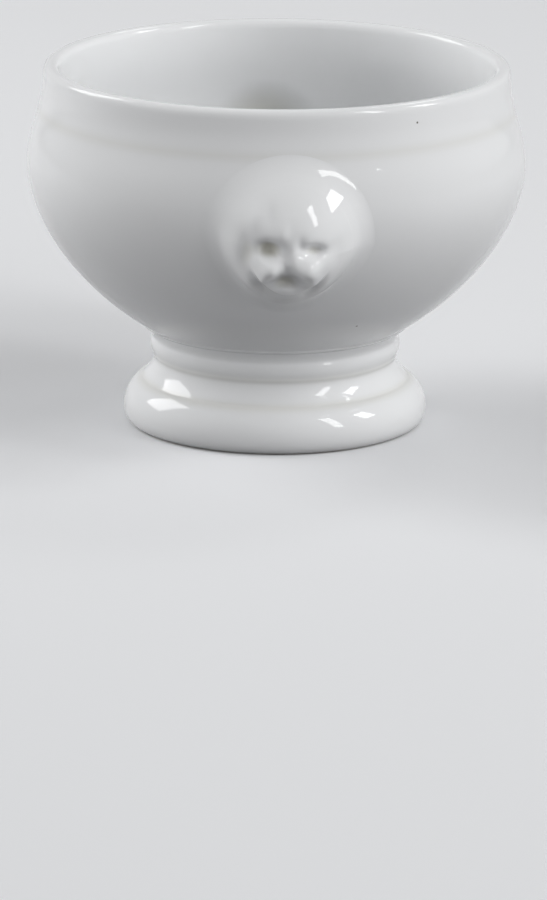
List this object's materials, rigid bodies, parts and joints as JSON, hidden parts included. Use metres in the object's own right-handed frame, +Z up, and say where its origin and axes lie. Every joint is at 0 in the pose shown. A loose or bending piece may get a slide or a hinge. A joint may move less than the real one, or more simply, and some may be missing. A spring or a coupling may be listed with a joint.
{
  "type": "footed soup crock",
  "caption": "White porcelain soup crock: a round-bellied bowl on a hollow pedestal foot, with a hollow lion-head boss on the front and the rear.",
  "frame": {"origin": "middle of the standing ring, on the surface that the crock stands on", "axes": "+Z up along the bowl's axis; the front lion head faces -Y and the rear one +Y"},
  "size_m": [0.12, 0.1382, 0.088],
  "materials": {
    "bowl_glaze": "clear gloss glaze over white porcelain",
    "foot_glaze": "clear gloss glaze over white porcelain, bare on the standing ring",
    "head_glaze": "clear gloss glaze, pooled in the relief",
    "fired_slip": "matt fired slip"
  },
  "bodies": {
    "root": {"bowl_body": "bowl_glaze", "pedestal_foot": "foot_glaze", "front_lion_head": "head_glaze", "rear_lion_head": "head_glaze", "foot_luting_slip": "fired_slip", "front_head_luting_slip": "fired_slip", "rear_head_luting_slip": "fired_slip"}
  },
  "joints": []
}
